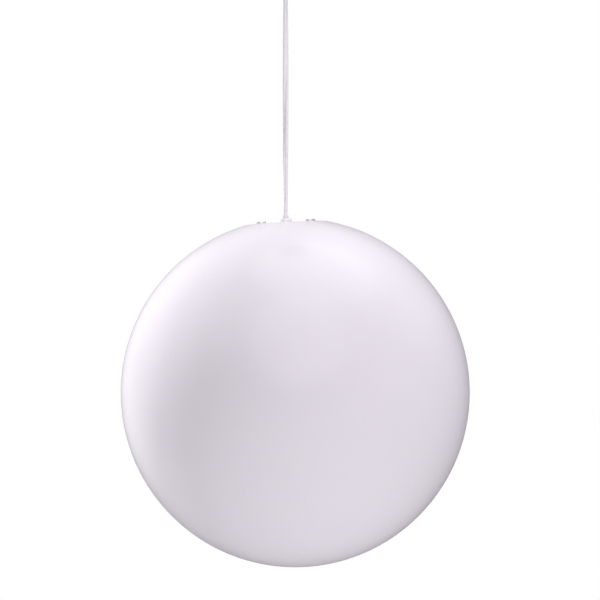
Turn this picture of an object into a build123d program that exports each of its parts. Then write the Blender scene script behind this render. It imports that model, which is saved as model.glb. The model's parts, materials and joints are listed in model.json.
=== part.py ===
"""Garden globe light that hangs from a ceiling by its flex.

Millimetres, +Z up. The origin is on the ceiling, on the line of the cord. The globe and all that
is fixed to it stand on the tilted plane "lid_top": its origin is the middle of the lid's top face
and its z runs up the globe's own axis, so heights there are negative going down into the globe.
"""
from build123d import *
from math import acos, asin, cos, degrees, pi, radians, sin, sqrt
import os

os.makedirs("parts", exist_ok=True)

# ---- globe ----
globe_diameter = 350.0
globe_wall = 3.0
globe_tilt = 3.2            # lean of the globe's axis from plumb, top towards -X

# ---- lid and what clamps it ----
lid_diameter = 79.4
lid_thickness = 4.0
lid_edge_radius = 2.0
lid_side_gap = 0.5          # between the lid's edge and its recess in the globe
lid_rise = 0.08             # lid's top face above the rim of the recess
gasket_thickness = 1.5
gasket_edge_inset = 0.5     # from the lid's edge
gasket_opening_inset = 0.6  # from the opening's edge
opening_ledge = 5.2         # width of the ledge round the opening
opening_flange_thickness = 3.0
skirt_gap = 0.4             # between the lid's skirt and the opening
skirt_wall = 2.0
skirt_end_gap = 0.5         # between the skirt and the clamp plates
rim_edge_radius = 0.8
screw_spacing = 49.0
screw_diameter = 5.0
screw_length = 16.0
screw_head_diameter = 9.5
screw_head_height = 1.85
screw_dome_radius = 1.1
screw_socket_flats = 3.0
screw_socket_depth = 1.1
washer_diameter = 12.4
washer_thickness = 0.9
clamp_plate_inset = 1.5     # from the opening's edge
clamp_plate_width = 9.5
clamp_plate_thickness = 2.5
clamp_plate_chord = 22.0    # plate starts this far from the axis
clamp_ear_width = 16.0
clamp_ear_margin = 4.5      # ear ends this far inside the screw
clamp_nut_collar_wall = 1.9
clamp_nut_collar_height = 4.0
clamp_nut_spigot_wall = 0.7

# ---- cord ----
cord_width = 6.0
cord_thickness = 3.8
cord_drop = 232.0           # from the sleeve's mouth down to the top of the gland
core_diameter = 2.2
core_side_gap = 0.8         # between the two cores, side by side
core_bend_radius = 2.0
canopy_core_bend_radius = 3.0
cord_end_gap = 0.25         # round the cord's rounded ends, where it bends

# ---- gland in the lid ----
gland_bore_gap = 0.6        # on each side of the cord
gland_wall = 1.35
gland_head_width = 1.3      # head beyond the thread
gland_head_height = 4.7
gland_shoulder_radius = 1.8
gland_end_gap = 0.5         # gland's end above the bottom of the holder's neck
gland_pivot_rise = 1.0      # bend of the cord above the gland's top
seal_slot_gap = 0.05
seal_end_inset = 2.5        # seal's end above the gland's
seal_washer_width = 3.05
seal_washer_thickness = 1.2
locknut_wall = 2.05         # thread to a flat
locknut_thickness = 3.0

# ---- lamp holder ----
holder_wall = 1.8
holder_neck_width = 3.05    # neck beyond the gland's thread
holder_neck_gap = 0.4       # below the locknut
holder_neck_length = 8.4
holder_roof = 2.0
holder_shoulder_drop = 7.0
holder_seam_drop = 1.0      # top of the insert to the seam of cap and body
wiring_height = 18.0        # roof of the cap to the ceramic insert
spigot_height = 5.0
spigot_wall = 1.4
insert_height = 10.0
insert_ledge = 2.0
insert_ledge_width = 1.4
screw_shell_gap = 0.4       # round the bulb's cap
screw_shell_wall = 0.4
screw_shell_side_gap = 0.65  # round the shell, inside the ledge
screw_shell_recess = 1.0    # shell's end above the holder's
terminal_block_side = 6.0
terminal_block_height = 5.0
terminal_offset = 9.0
terminal_screw_diameter = 2.6
terminal_screw_head_diameter = 4.0
terminal_screw_head_height = 1.2
cord_stop_diameter = 14.0
cord_stop_height = 5.0
cord_stop_screw_diameter = 2.5
tongue_width = 6.0
tongue_thickness = 0.5
tongue_length = 12.0
tongue_gap = 0.2            # above the bulb's contact
tongue_drop = 5.5           # insert to the bulb's contact

# ---- bulb ----
bulb_diameter = 36.8
bulb_cap_diameter = 26.2
bulb_cap_length = 22.0
bulb_cap_wall = 0.3
bulb_insulator_height = 5.0
bulb_insulator_top_diameter = 10.0
bulb_contact_diameter = 9.0
bulb_contact_height = 1.0
bulb_contact_edge_radius = 0.8
bulb_neck_diameter = 28.0
bulb_housing_height = 22.0
bulb_taper_height = 14.0
bulb_diffuser_height = 68.0
bulb_diffuser_wall = 1.2
bulb_tip_radius = 14.0
bulb_holder_gap = 0.5
led_board_side = 14.0
led_board_tip_gap = 16.0    # from the tip of the diffuser

# ---- ceiling fitting ----
canopy_diameter = 100.0
canopy_headroom = 5.4       # between the wiring and the bracket
canopy_wall = 2.0
canopy_floor = 2.5
canopy_edge_radius = 8.0
canopy_inner_edge_radius = 5.0
bracket_side_gap = 1.7      # inside the cover's wall
bracket_width = 22.0
bracket_thickness = 1.5
bracket_bend_radius = 1.2
bracket_ear_drop = 15.0
bracket_slot_spacing = 60.0
bracket_slot_length = 10.0
bracket_slot_width = 5.0
bracket_cable_hole = 14.0
side_screw_diameter = 4.0
side_screw_drop = 9.0
side_screw_head_diameter = 8.0
side_screw_head_height = 2.2
side_screw_edge_radius = 1.1
side_screw_length = 9.0
swivel_ball_radius = 9.0
swivel_gap = 0.3
swivel_mouth_drop = 5.0     # ball centre to the boss's lower face
swivel_seat_rise = 6.0      # ball centre to the retainer
retainer_width = 1.7        # beyond the ball's seat
retainer_thickness = 5.0
boss_wall = 3.0
sleeve_length = 32.0        # ball centre to the sleeve's mouth
sleeve_bore_gap = 0.3       # on each side of the cord
sleeve_neck_wall = 1.9
sleeve_mouth_wall = 0.8
clamp_height = 9.0
clamp_base_depth = 7.0
clamp_saddle_depth = 4.0
clamp_screw_diameter = 3.0
clamp_screw_offset = 3.2    # from the side of the cord
clamp_screw_margin = 2.8    # from the end of the clamp
clamp_screw_head_diameter = 5.0
clamp_screw_head_height = 2.0
clamp_gap = 0.1             # between the cord and the clamp's jaws
canopy_cord_tail = 3.0      # cord above the clamp
core_rise = 7.0
terminal_length = 18.0
terminal_width = 20.0
terminal_height = 17.0
terminal_port_height = 11.0
terminal_pitch = 9.0
terminal_tube_wall = 1.25
terminal_tube_recess = 1.0
terminal_tube_gap = 0.15    # round the core in the tube
terminal_clamp_screw_diameter = 3.0
terminal_clamp_screw_inset = 4.5
terminal_clamp_screw_recess = 1.5
core_port_reach = 6.0
core_clamp_gap = 1.9        # between the cores and the clamp's screw heads
core_port_run = 4.0         # cores run down this far from the terminal block

thread_gap = 0.05           # all round a screw in its thread
hole_gap = 0.25             # all round a screw in a clearance hole


# ---- widths round the cord ----
core_spacing = core_diameter + core_side_gap
gland_bore_diameter = cord_width + 2 * gland_bore_gap
gland_thread_diameter = gland_bore_diameter + 2 * gland_wall
gland_head_diameter = gland_thread_diameter + 2 * gland_head_width
seal_washer_diameter = gland_thread_diameter + 2 * seal_washer_width
locknut_flats = gland_thread_diameter + 2 * locknut_wall
holder_neck_diameter = gland_thread_diameter + 2 * holder_neck_width
sleeve_bore_radius = cord_width / 2 + sleeve_bore_gap
sleeve_neck_radius = sleeve_bore_radius + sleeve_neck_wall
sleeve_mouth_radius = sleeve_bore_radius + sleeve_mouth_wall
seat_radius = swivel_ball_radius + swivel_gap
retainer_radius = seat_radius + retainer_width
boss_radius = retainer_radius + boss_wall
clamp_screw_spacing = cord_width + 2 * clamp_screw_offset
clamp_width = clamp_screw_spacing + 2 * clamp_screw_margin
jaw = cord_thickness / 2 + clamp_gap
clamp_front = jaw + clamp_saddle_depth
core_down_x = clamp_front + clamp_screw_head_height + core_clamp_gap + core_diameter / 2
terminal_start = core_down_x + core_port_run
terminal_tube_bore = core_diameter + 2 * terminal_tube_gap
terminal_tube_diameter = terminal_tube_bore + 2 * terminal_tube_wall
bracket_length = canopy_diameter - 2 * (canopy_wall + bracket_side_gap)

# ---- heights at the ceiling ----
wiring_stack = canopy_cord_tail + core_rise + core_diameter / 2
canopy_height = (
    bracket_thickness + canopy_headroom + wiring_stack
    + clamp_height + retainer_thickness + swivel_seat_rise
)
ball_z = -canopy_height
boss_bottom = ball_z - swivel_mouth_drop
retainer_bottom = ball_z + swivel_seat_rise
boss_top = retainer_bottom + retainer_thickness
sleeve_mouth = ball_z - sleeve_length
canopy_floor_top = -canopy_height + canopy_floor
clamp_top = boss_top + clamp_height
tail_top = clamp_top + canopy_cord_tail
port_z = canopy_floor_top + terminal_port_height

# ---- bends of the cord ----
cord_end_radius = cord_width / 2 + thread_gap
cord_seat_radius = cord_end_radius + cord_end_gap
upper_bend = sleeve_mouth - cord_seat_radius
lower_bend = sleeve_mouth - cord_drop + gland_pivot_rise

# ---- the globe's own plane and the heights on it ----
lean = radians(globe_tilt)
bend_above_lid = gland_head_height + gland_pivot_rise
globe_up = Vector(-sin(lean), 0, cos(lean))
lid_top = Plane(
    origin=Vector(0, 0, lower_bend) - globe_up * bend_above_lid,
    x_dir=(cos(lean), 0, sin(lean)),
    z_dir=globe_up,
)
globe_radius = globe_diameter / 2
recess_radius = lid_diameter / 2 + lid_side_gap
opening_radius = recess_radius - opening_ledge
lid_face_height = sqrt(globe_radius**2 - recess_radius**2) + lid_rise
lid_underside = -lid_thickness
flange_top = lid_underside - gasket_thickness
flange_underside = flange_top - opening_flange_thickness
plate_underside = flange_underside - clamp_plate_thickness
nut_underside = lid_underside - seal_washer_thickness - locknut_thickness
neck_top = nut_underside - holder_neck_gap
neck_bottom = neck_top - holder_neck_length
gland_bottom = neck_bottom + gland_end_gap
seal_bottom = gland_bottom + seal_end_inset
roof = neck_bottom - holder_roof
insert_top = roof - wiring_height
insert_bottom = insert_top - insert_height
cap_bottom = insert_top - holder_seam_drop
bulb_contact_top = insert_bottom - tongue_drop
bulb_contact_bottom = bulb_contact_top - bulb_contact_height
bulb_cap_top = bulb_contact_bottom - bulb_insulator_height
bulb_neck = bulb_cap_top - bulb_cap_length
holder_bottom = bulb_neck + bulb_holder_gap
shell_bottom = holder_bottom + screw_shell_recess
diffuser_top = bulb_neck - bulb_housing_height
bulb_tip = diffuser_top - bulb_diffuser_height
screw_x = screw_spacing / 2
nut_spigot_radius = screw_diameter / 2 + clamp_nut_spigot_wall
screw_shell_radius = bulb_cap_diameter / 2 + screw_shell_gap + screw_shell_wall
ledge_radius = screw_shell_radius + screw_shell_side_gap
insert_seat_radius = ledge_radius + insert_ledge_width
insert_radius = insert_seat_radius - thread_gap
spigot_radius = insert_seat_radius + spigot_wall
cap_inner_radius = spigot_radius + thread_gap
holder_radius = cap_inner_radius + holder_wall


def section_of(plane):
    """The plane through a plane's own axis: x is the radius, y the height."""
    return Plane(origin=plane.origin, x_dir=plane.x_dir, z_dir=-plane.y_dir)


def beside(plane, x, y=0.0):
    """The same plane with its origin moved along itself."""
    return Plane(
        origin=plane.from_local_coords(Vector(x, y, 0)), x_dir=plane.x_dir, z_dir=plane.z_dir
    )


def sideways(plane, height):
    """A plane at a height on the plane's axis whose own axis is the first plane's x."""
    return Plane(
        origin=plane.from_local_coords(Vector(0, 0, height)),
        x_dir=plane.y_dir,
        z_dir=plane.x_dir,
    )


def turn(plane, *outline, mode=Mode.ADD):
    """A turned form from (radius, height) corners about the plane's axis."""
    with BuildSketch(section_of(plane)) as profile:
        with BuildLine():
            Polyline(*outline, close=True)
        make_face()
    revolve(profile.sketch, axis=Axis(plane.origin, plane.z_dir), mode=mode)


def disc(plane, radius, bottom, top, mode=Mode.ADD):
    """A round bar between two heights on the plane's axis."""
    with BuildSketch(plane.offset(bottom)) as profile:
        Circle(radius)
    extrude(profile.sketch, amount=top - bottom, dir=plane.z_dir, mode=mode)


def ring(plane, radius, bore, bottom, top, mode=Mode.ADD):
    """A tube between two heights on the plane's axis."""
    with BuildSketch(plane.offset(bottom)) as profile:
        Circle(radius)
        Circle(bore, mode=Mode.SUBTRACT)
    extrude(profile.sketch, amount=top - bottom, dir=plane.z_dir, mode=mode)


def flex(plane, bottom, top, gap=0.0, mode=Mode.ADD):
    """A straight length of the flat flex, wide side along the plane's y."""
    with BuildSketch(plane.offset(bottom)) as profile:
        SlotOverall(cord_width + 2 * gap, cord_thickness + 2 * gap, rotation=90)
    extrude(profile.sketch, amount=top - bottom, dir=plane.z_dir, mode=mode)


def block(plane, width, depth, bottom, top, x=0.0, y=0.0, mode=Mode.ADD):
    """A square block between two heights, centred at x, y on the plane."""
    with BuildSketch(plane.offset(bottom)) as profile:
        with Locations((x, y)):
            Rectangle(width, depth)
    extrude(profile.sketch, amount=top - bottom, dir=plane.z_dir, mode=mode)


def ball(centre, radius, mode=Mode.ADD):
    """A ball about a point."""
    with Locations(centre):
        Sphere(radius, mode=mode)


def wire(*points, radii):
    """A round insulated core along straight runs joined by arcs."""
    with BuildLine() as route:
        FilletPolyline(*points, radius=radii)
    line = route.line
    with BuildSketch(Plane(origin=line @ 0, z_dir=line % 0)) as profile:
        Circle(core_diameter / 2)
    sweep(profile.sketch, path=line)


def lowest_round(builder, radius):
    """The lowest round edge of that radius."""
    rounds = builder.edges().filter_by(GeomType.CIRCLE)
    return rounds.filter_by(lambda edge: abs(edge.radius - radius) < thread_gap).sort_by(Axis.Z)[0]


def end_edges(builder, plane, end):
    """The edges of the flat face at one end of a piece along the plane's axis."""
    flats = builder.faces().filter_by(GeomType.PLANE)
    return flats.sort_by(Axis(plane.origin, plane.z_dir))[end].edges()


def keep(builder, name):
    """Label a finished piece and write it."""
    builder.part.label = name
    export_step(builder.part, f"parts/{name}.step")


# ================================ ceiling fitting ================================
ceiling = Plane.XY

with BuildPart() as ceiling_bracket:
    block(ceiling, bracket_length, bracket_width, -bracket_thickness, 0)
    for side in (-1, 1):
        ear_x = side * (bracket_length - bracket_thickness) / 2
        block(ceiling, bracket_thickness, bracket_width, -bracket_ear_drop, 0, x=ear_x)
    fillet(
        ceiling_bracket.edges().filter_by(Axis.Y).group_by(Axis.Z)[-1],
        radius=bracket_bend_radius,
    )
    with BuildSketch(ceiling):
        with GridLocations(bracket_slot_spacing, 0, 2, 1):
            SlotOverall(bracket_slot_length, bracket_slot_width)
        Circle(bracket_cable_hole / 2)
    extrude(amount=-bracket_thickness, mode=Mode.SUBTRACT)
    with BuildSketch(Plane.YZ):
        with Locations((0, -side_screw_drop)):
            Circle(side_screw_diameter / 2 + thread_gap)
    extrude(amount=bracket_length, both=True, mode=Mode.SUBTRACT)
keep(ceiling_bracket, "ceiling_bracket")

with BuildPart() as canopy_cover:
    turn(
        ceiling,
        (canopy_diameter / 2, 0),
        (canopy_diameter / 2, -canopy_height),
        (boss_radius, -canopy_height),
        (boss_radius, boss_bottom),
        (0, boss_bottom),
        (0, boss_top),
        (boss_radius, boss_top),
        (boss_radius, canopy_floor_top),
        (canopy_diameter / 2 - canopy_wall, canopy_floor_top),
        (canopy_diameter / 2 - canopy_wall, 0),
    )
    fillet(lowest_round(canopy_cover, canopy_diameter / 2), radius=canopy_edge_radius)
    fillet(
        lowest_round(canopy_cover, canopy_diameter / 2 - canopy_wall),
        radius=canopy_inner_edge_radius,
    )
    ball((0, 0, ball_z), seat_radius, mode=Mode.SUBTRACT)
    disc(ceiling, seat_radius, ball_z, retainer_bottom, mode=Mode.SUBTRACT)
    disc(ceiling, retainer_radius + thread_gap, retainer_bottom, boss_top, mode=Mode.SUBTRACT)
    with BuildSketch(Plane.YZ):
        with Locations((0, -side_screw_drop)):
            Circle(side_screw_diameter / 2 + hole_gap)
    extrude(amount=canopy_diameter, both=True, mode=Mode.SUBTRACT)
keep(canopy_cover, "canopy_cover")

with BuildPart() as swivel_retainer:
    disc(ceiling, retainer_radius, retainer_bottom, boss_top)
    ball((0, 0, ball_z), seat_radius, mode=Mode.SUBTRACT)
    flex(ceiling, retainer_bottom, boss_top, gap=clamp_gap, mode=Mode.SUBTRACT)
keep(swivel_retainer, "swivel_retainer")


for side_name, side in (("left", -1), ("right", 1)):
    outward = Plane(origin=(side * canopy_diameter / 2, 0, -side_screw_drop), z_dir=(side, 0, 0))
    with BuildPart() as side_screw:
        disc(outward, side_screw_head_diameter / 2, 0, side_screw_head_height)
        fillet(end_edges(side_screw, outward, -1), radius=side_screw_edge_radius)
        disc(outward, side_screw_diameter / 2, -side_screw_length, 0)
    keep(side_screw, f"canopy_screw_{side_name}")

clamp_middle = boss_top + clamp_height / 2
across = Plane(origin=(0, 0, clamp_middle), x_dir=(0, 1, 0), z_dir=(1, 0, 0))


def clamp_holes(radius):
    """The two screw holes across the cord clamp."""
    with BuildSketch(across) as holes:
        with GridLocations(clamp_screw_spacing, 0, 2, 1):
            Circle(radius)
    extrude(holes.sketch, amount=clamp_width, both=True, mode=Mode.SUBTRACT)


with BuildPart() as cord_clamp_base:
    block(ceiling, clamp_base_depth, clamp_width, boss_top, clamp_top,
          x=-jaw - clamp_base_depth / 2)
    clamp_holes(clamp_screw_diameter / 2 + thread_gap)
keep(cord_clamp_base, "cord_clamp_base")

with BuildPart() as cord_clamp_saddle:
    block(ceiling, clamp_saddle_depth, clamp_width, boss_top, clamp_top,
          x=jaw + clamp_saddle_depth / 2)
    clamp_holes(clamp_screw_diameter / 2 + hole_gap)
keep(cord_clamp_saddle, "cord_clamp_saddle")

with BuildPart() as cord_clamp_screws:
    for side in (-1, 1):
        at = beside(across, side * clamp_screw_spacing / 2)
        disc(at, clamp_screw_diameter / 2, -jaw - clamp_base_depth, clamp_front)
        disc(at, clamp_screw_head_diameter / 2, clamp_front,
             clamp_front + clamp_screw_head_height)
keep(cord_clamp_screws, "cord_clamp_screws")

terminal_middle = terminal_start + terminal_length / 2
terminal_top = canopy_floor_top + terminal_height
port = Plane(origin=(0, 0, port_z), x_dir=(0, 1, 0), z_dir=(1, 0, 0))
terminal_screw_x = (
    terminal_start + terminal_clamp_screw_inset,
    terminal_start + terminal_length - terminal_clamp_screw_inset,
)

with BuildPart() as terminal_block:
    block(ceiling, terminal_length, terminal_width, canopy_floor_top, terminal_top,
          x=terminal_middle)
    for side in (-1, 1):
        y = side * terminal_pitch / 2
        disc(beside(port, y), terminal_tube_diameter / 2 + thread_gap,
             terminal_start, terminal_start + terminal_length, mode=Mode.SUBTRACT)
        for x in terminal_screw_x:
            disc(beside(ceiling, x, y), terminal_clamp_screw_diameter / 2 + thread_gap,
                 port_z, terminal_top, mode=Mode.SUBTRACT)
keep(terminal_block, "terminal_block")

with BuildPart() as terminal_tubes:
    for side in (-1, 1):
        y = side * terminal_pitch / 2
        ring(beside(port, y), terminal_tube_diameter / 2, terminal_tube_bore / 2,
             terminal_start + terminal_tube_recess,
             terminal_start + terminal_length - terminal_tube_recess)
        for x in terminal_screw_x:
            disc(beside(ceiling, x, y), terminal_clamp_screw_diameter / 2 + thread_gap,
                 port_z, terminal_top, mode=Mode.SUBTRACT)
keep(terminal_tubes, "terminal_tubes")

with BuildPart() as terminal_screws:
    for side in (-1, 1):
        for x in terminal_screw_x:
            disc(beside(ceiling, x, side * terminal_pitch / 2),
                 terminal_clamp_screw_diameter / 2,
                 port_z + terminal_tube_bore / 2 + thread_gap,
                 terminal_top - terminal_clamp_screw_recess)
keep(terminal_screws, "terminal_screws")

with BuildPart() as canopy_cord:
    flex(ceiling, ball_z + swivel_ball_radius, tail_top)
    ball((0, 0, ball_z), seat_radius, mode=Mode.SUBTRACT)
keep(canopy_cord, "canopy_cord")

for core_side, core_name in ((-1, "canopy_live_core"), (1, "canopy_neutral_core")):
    core_y = core_side * core_spacing / 2
    port_y = core_side * terminal_pitch / 2
    core_over = tail_top + core_rise
    with BuildPart() as canopy_core:
        wire(
            (0, core_y, tail_top),
            (0, core_y, core_over),
            (core_down_x, port_y, core_over),
            (core_down_x, port_y, port_z),
            (terminal_start + core_port_reach, port_y, port_z),
            radii=[canopy_core_bend_radius] * 3,
        )
    keep(canopy_core, core_name)

with BuildPart() as cord_sleeve:
    ball((0, 0, ball_z), swivel_ball_radius)
    turn(
        ceiling,
        (0, ball_z),
        (sleeve_neck_radius, ball_z),
        (sleeve_neck_radius, boss_bottom),
        (sleeve_mouth_radius, sleeve_mouth),
        (0, sleeve_mouth),
    )
    disc(ceiling, sleeve_bore_radius, sleeve_mouth, ball_z + swivel_ball_radius,
         mode=Mode.SUBTRACT)
keep(cord_sleeve, "cord_sleeve")

with BuildPart() as sleeve_cord:
    flex(ceiling, sleeve_mouth, ball_z + sqrt(swivel_ball_radius**2 - (cord_width / 2) ** 2))
keep(sleeve_cord, "sleeve_cord")

# ================================ hanging cord ================================
with BuildPart() as hanging_cord:
    flex(ceiling, lower_bend - cord_end_radius, upper_bend + cord_end_radius)
    with BuildSketch(section_of(ceiling)) as rounded_run:
        with BuildLine():
            CenterArc((0, lower_bend), cord_end_radius, -90, 90)
            Line((cord_end_radius, lower_bend), (cord_end_radius, upper_bend))
            CenterArc((0, upper_bend), cord_end_radius, 0, 90)
            Line((0, upper_bend + cord_end_radius), (0, lower_bend - cord_end_radius))
        make_face()
    revolve(rounded_run.sketch, axis=Axis.Z, mode=Mode.INTERSECT)
keep(hanging_cord, "hanging_cord")

# ================================ gland and lid ================================
bend_point = (0, 0, lower_bend)

with BuildPart() as gland_body:
    disc(lid_top, gland_head_diameter / 2, 0, gland_head_height)
    fillet(end_edges(gland_body, lid_top, -1), radius=gland_shoulder_radius)
    disc(lid_top, gland_thread_diameter / 2, gland_bottom, 0)
    disc(lid_top, gland_bore_diameter / 2, gland_bottom, gland_head_height,
         mode=Mode.SUBTRACT)
keep(gland_body, "gland_body")

with BuildPart() as gland_seal:
    disc(lid_top, gland_bore_diameter / 2 - thread_gap, seal_bottom, gland_head_height)
    flex(lid_top, seal_bottom, gland_head_height, gap=seal_slot_gap, mode=Mode.SUBTRACT)
    ball(bend_point, cord_seat_radius, mode=Mode.SUBTRACT)
keep(gland_seal, "gland_seal")

with BuildPart() as gland_washer:
    ring(lid_top, seal_washer_diameter / 2, gland_thread_diameter / 2 + thread_gap,
         lid_underside - seal_washer_thickness, lid_underside)
keep(gland_washer, "gland_washer")

with BuildPart() as gland_locknut:
    with BuildSketch(lid_top.offset(nut_underside)) as nut_outline:
        RegularPolygon(locknut_flats / 2, 6, major_radius=False)
        Circle(gland_thread_diameter / 2 + thread_gap, mode=Mode.SUBTRACT)
    extrude(nut_outline.sketch, amount=locknut_thickness, dir=lid_top.z_dir)
keep(gland_locknut, "gland_locknut")

skirt_radius = opening_radius - skirt_gap

with BuildPart() as lid:
    disc(lid_top, lid_diameter / 2, lid_underside, 0)
    fillet(end_edges(lid, lid_top, -1), radius=lid_edge_radius)
    ring(lid_top, skirt_radius, skirt_radius - skirt_wall,
         flange_underside + skirt_end_gap, lid_underside)
    disc(lid_top, gland_thread_diameter / 2 + hole_gap, lid_underside, 0, mode=Mode.SUBTRACT)
    for side in (-1, 1):
        disc(beside(lid_top, side * screw_x), screw_diameter / 2 + hole_gap,
             lid_underside, 0, mode=Mode.SUBTRACT)
keep(lid, "lid")

with BuildPart() as lid_gasket:
    ring(lid_top, lid_diameter / 2 - gasket_edge_inset, opening_radius + gasket_opening_inset,
         flange_top, lid_underside)
keep(lid_gasket, "lid_gasket")


def lid_screw(builder, side):
    """A domed socket screw; its length is measured under the head."""
    at = beside(lid_top, side * screw_x)
    head_top = washer_thickness + screw_head_height
    disc(at, screw_head_diameter / 2, washer_thickness, head_top)
    fillet(end_edges(builder, at, -1), radius=screw_dome_radius)
    disc(at, screw_diameter / 2, washer_thickness - screw_length, washer_thickness)
    with BuildSketch(at.offset(head_top)) as socket:
        RegularPolygon(screw_socket_flats / 2, 6, major_radius=False)
    extrude(socket.sketch, amount=-screw_socket_depth, dir=at.z_dir, mode=Mode.SUBTRACT)


def lid_washer(side):
    """The washer under a lid screw's head."""
    ring(beside(lid_top, side * screw_x), washer_diameter / 2, screw_diameter / 2 + hole_gap,
         0, washer_thickness)


def clamp_plate(side):
    """A crescent under the globe's rim, with an ear that reaches in to the screw."""
    inner_radius = opening_radius + clamp_plate_inset
    outer_radius = inner_radius + clamp_plate_width
    outline_span = outer_radius * 2
    ear_start = screw_x - clamp_ear_margin
    ear_end = inner_radius + clamp_plate_width / 2
    with BuildSketch(lid_top.offset(plate_underside)) as outline:
        Circle(outer_radius)
        Circle(inner_radius, mode=Mode.SUBTRACT)
        with Locations((side * (clamp_plate_chord + outline_span / 2), 0)):
            Rectangle(outline_span, outline_span, mode=Mode.INTERSECT)
        with Locations((side * (ear_start + ear_end) / 2, 0)):
            Rectangle(ear_end - ear_start, clamp_ear_width)
        with Locations((side * screw_x, 0)):
            Circle(nut_spigot_radius + thread_gap, mode=Mode.SUBTRACT)
    extrude(outline.sketch, amount=clamp_plate_thickness, dir=lid_top.z_dir)


def clamp_nut(side):
    """A nut pressed into the crescent's ear from below."""
    at = beside(lid_top, side * screw_x)
    bore = screw_diameter / 2 + thread_gap
    ring(at, screw_diameter / 2 + clamp_nut_collar_wall, bore,
         plate_underside - clamp_nut_collar_height, plate_underside)
    ring(at, nut_spigot_radius, bore, plate_underside, flange_underside)


for side_name, screw_side in (("left", -1), ("right", 1)):
    with BuildPart() as screw:
        lid_screw(screw, screw_side)
    keep(screw, f"lid_screw_{side_name}")
    with BuildPart() as washer:
        lid_washer(screw_side)
    keep(washer, f"lid_washer_{side_name}")
    with BuildPart() as plate:
        clamp_plate(screw_side)
    keep(plate, f"clamp_plate_{side_name}")
    with BuildPart() as nut:
        clamp_nut(screw_side)
    keep(nut, f"clamp_nut_{side_name}")

# ================================ globe ================================
globe_inner_radius = globe_radius - globe_wall
flange_rise = lid_face_height + flange_underside
rim_angle = degrees(acos(recess_radius / globe_radius))
inner_angle = degrees(asin(flange_rise / globe_inner_radius))

with BuildPart() as globe_shell:
    with BuildSketch(section_of(lid_top)) as wall:
        with BuildLine():
            CenterArc((0, -lid_face_height), globe_radius, -90, rim_angle + 90)
            Polyline(
                (recess_radius, -lid_rise),
                (recess_radius, flange_top),
                (opening_radius, flange_top),
                (opening_radius, flange_underside),
                (globe_inner_radius * cos(radians(inner_angle)), flange_underside),
            )
            CenterArc((0, -lid_face_height), globe_inner_radius, -90, inner_angle + 90)
            Line((0, -lid_face_height - globe_inner_radius), (0, -lid_face_height - globe_radius))
        make_face()
    revolve(wall.sketch, axis=Axis(lid_top.origin, lid_top.z_dir))
    fillet(
        globe_shell.edges().filter_by(GeomType.CIRCLE)
        .sort_by(Axis(lid_top.origin, lid_top.z_dir))[-1],
        radius=rim_edge_radius,
    )
keep(globe_shell, "globe_shell")

# ================================ lamp holder ================================
cord_stop_bottom = roof - cord_stop_height
lamp_cord_end = cord_stop_bottom - thread_gap

with BuildPart() as lamp_cord:
    flex(lid_top, lamp_cord_end, gland_head_height)
    ball(bend_point, cord_seat_radius, mode=Mode.SUBTRACT)
keep(lamp_cord, "lamp_cord")

with BuildPart() as cord_stop:
    disc(lid_top, cord_stop_diameter / 2, cord_stop_bottom, roof)
    flex(lid_top, cord_stop_bottom, roof, gap=seal_slot_gap, mode=Mode.SUBTRACT)
    stop_middle = cord_stop_bottom + cord_stop_height / 2
    stop_bore = sideways(lid_top, stop_middle)
    disc(stop_bore, cord_stop_screw_diameter / 2 + thread_gap, 0, cord_stop_diameter,
         mode=Mode.SUBTRACT)
keep(cord_stop, "cord_stop")

with BuildPart() as cord_stop_screw:
    disc(stop_bore, cord_stop_screw_diameter / 2, cord_thickness / 2 + thread_gap,
         cord_stop_diameter / 2)
keep(cord_stop_screw, "cord_stop_screw")

shoulder_z = neck_bottom - holder_shoulder_drop

with BuildPart() as holder_cap:
    turn(
        lid_top,
        (gland_thread_diameter / 2 + thread_gap, neck_top),
        (holder_neck_diameter / 2, neck_top),
        (holder_neck_diameter / 2, neck_bottom),
        ((holder_neck_diameter / 2 + holder_radius) / 2, neck_bottom - holder_shoulder_drop / 4),
        (holder_radius, shoulder_z),
        (holder_radius, cap_bottom),
        (cap_inner_radius, cap_bottom),
        (cap_inner_radius, shoulder_z),
        ((holder_neck_diameter / 2 + cap_inner_radius) / 2, roof),
        (gland_thread_diameter / 2 + thread_gap, roof),
    )
keep(holder_cap, "holder_cap")

with BuildPart() as holder_body:
    turn(
        lid_top,
        (holder_radius, cap_bottom),
        (holder_radius, holder_bottom),
        (cap_inner_radius, holder_bottom),
        (cap_inner_radius, insert_bottom - insert_ledge),
        (ledge_radius, insert_bottom - insert_ledge),
        (ledge_radius, insert_bottom),
        (insert_seat_radius, insert_bottom),
        (insert_seat_radius, cap_bottom + spigot_height),
        (spigot_radius, cap_bottom + spigot_height),
        (spigot_radius, cap_bottom),
    )
keep(holder_body, "holder_body")

terminal_top_face = insert_top + terminal_block_height
terminal_middle_height = insert_top + terminal_block_height / 2

with BuildPart() as holder_insert:
    disc(lid_top, insert_radius, insert_bottom, insert_top)
keep(holder_insert, "holder_insert")

with BuildPart() as holder_terminals:
    for side in (-1, 1):
        at = beside(lid_top, 0, side * terminal_offset)
        block(at, terminal_block_side, terminal_block_side, insert_top, terminal_top_face)
        disc(at, core_diameter / 2 + clamp_gap, insert_top, terminal_top_face,
             mode=Mode.SUBTRACT)
        disc(sideways(at, terminal_middle_height), terminal_screw_diameter / 2 + thread_gap,
             0, terminal_block_side, mode=Mode.SUBTRACT)
keep(holder_terminals, "holder_terminals")

with BuildPart() as holder_terminal_screws:
    for side in (-1, 1):
        screw_bore = sideways(beside(lid_top, 0, side * terminal_offset), terminal_middle_height)
        head_seat = terminal_block_side / 2
        disc(screw_bore, terminal_screw_diameter / 2, core_diameter / 2 + clamp_gap, head_seat)
        disc(screw_bore, terminal_screw_head_diameter / 2, head_seat,
             head_seat + terminal_screw_head_height)
keep(holder_terminal_screws, "holder_terminal_screws")

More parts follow.
